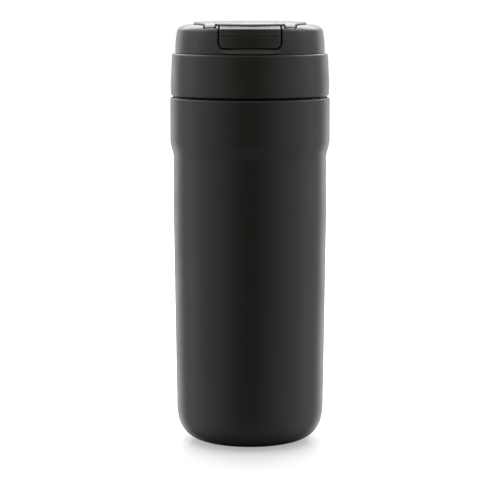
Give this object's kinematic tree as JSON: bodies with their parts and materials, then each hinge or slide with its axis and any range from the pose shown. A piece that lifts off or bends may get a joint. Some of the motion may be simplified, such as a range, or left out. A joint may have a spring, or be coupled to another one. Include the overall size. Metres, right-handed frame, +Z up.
{
  "type": "insulated travel mug",
  "caption": "Tall double-wall steel travel mug with a screw-in lid, a hinged flip cover over the drinking spout and a front push latch.",
  "frame": {"origin": "centre of the base, on the plane the mug stands on", "axes": "+Z up along the mug's axis; the latch button faces -Y and the cover's hinge is on the +Y side"},
  "size_m": [0.075, 0.075, 0.1983],
  "materials": {
    "powder_coat": "matte black powder coat, very fine grain",
    "liner_steel": "electropolished with fine turning lines",
    "getter_metal": "dull sintered metal",
    "foot_rubber": "matte moulded rubber",
    "silicone": "soft satin silicone",
    "lid_plastic": "fine-textured satin black polypropylene",
    "inner_plastic": "plain moulded dark polypropylene",
    "spring_steel": "bright drawn stainless wire"
  },
  "bodies": {
    "vessel": {"outer_shell": "powder_coat", "inner_liner": "liner_steel", "outer_base": "powder_coat", "vacuum_seal": "getter_metal", "getter_pad": "getter_metal", "foot_pad": "foot_rubber"},
    "thread_carrier": {"lid_seal_ring": "silicone"},
    "lid": {"lid_collar": "lid_plastic", "screw_plug": "inner_plastic", "plug_bottom": "inner_plastic", "drink_channel": "inner_plastic", "drink_well": "inner_plastic", "deck_gasket": "silicone", "top_housing": "lid_plastic", "hinge_pin": "spring_steel", "cover_spring": "spring_steel", "latch_spring_left": "spring_steel", "latch_spring_right": "spring_steel"},
    "cover": {"flip_cover": "lid_plastic", "cover_underplate": "inner_plastic", "sip_stopper": "silicone", "vent_stopper": "silicone"},
    "button": {"latch_button": "lid_plastic"}
  },
  "joints": [
    {"name": "lid_lift", "type": "slide", "parent": "vessel", "child": "thread_carrier", "axis": [0, 0, 1], "range_m": [0, 0.0225]},
    {"name": "lid_turn", "type": "hinge", "parent": "thread_carrier", "child": "lid", "pos_m": [0, 0, 0.15], "axis": [0, 0, 1], "range_deg": [0, 811]},
    {"name": "cover_flip", "type": "hinge", "parent": "lid", "child": "cover", "pos_m": [0, 0.0225, 0.1937], "axis": [-1, 0, 0], "range_deg": [0, 105]},
    {"name": "latch_press", "type": "slide", "parent": "lid", "child": "button", "axis": [0, 1, 0], "range_m": [0, 0.001], "stiffness_N_per_m": 60, "deforming": ["latch_spring_left", "latch_spring_right"]}
  ],
  "couplings": [
    {"joint": "lid_turn", "follows": "lid_lift", "rad_per_m": 628.32}
  ]
}
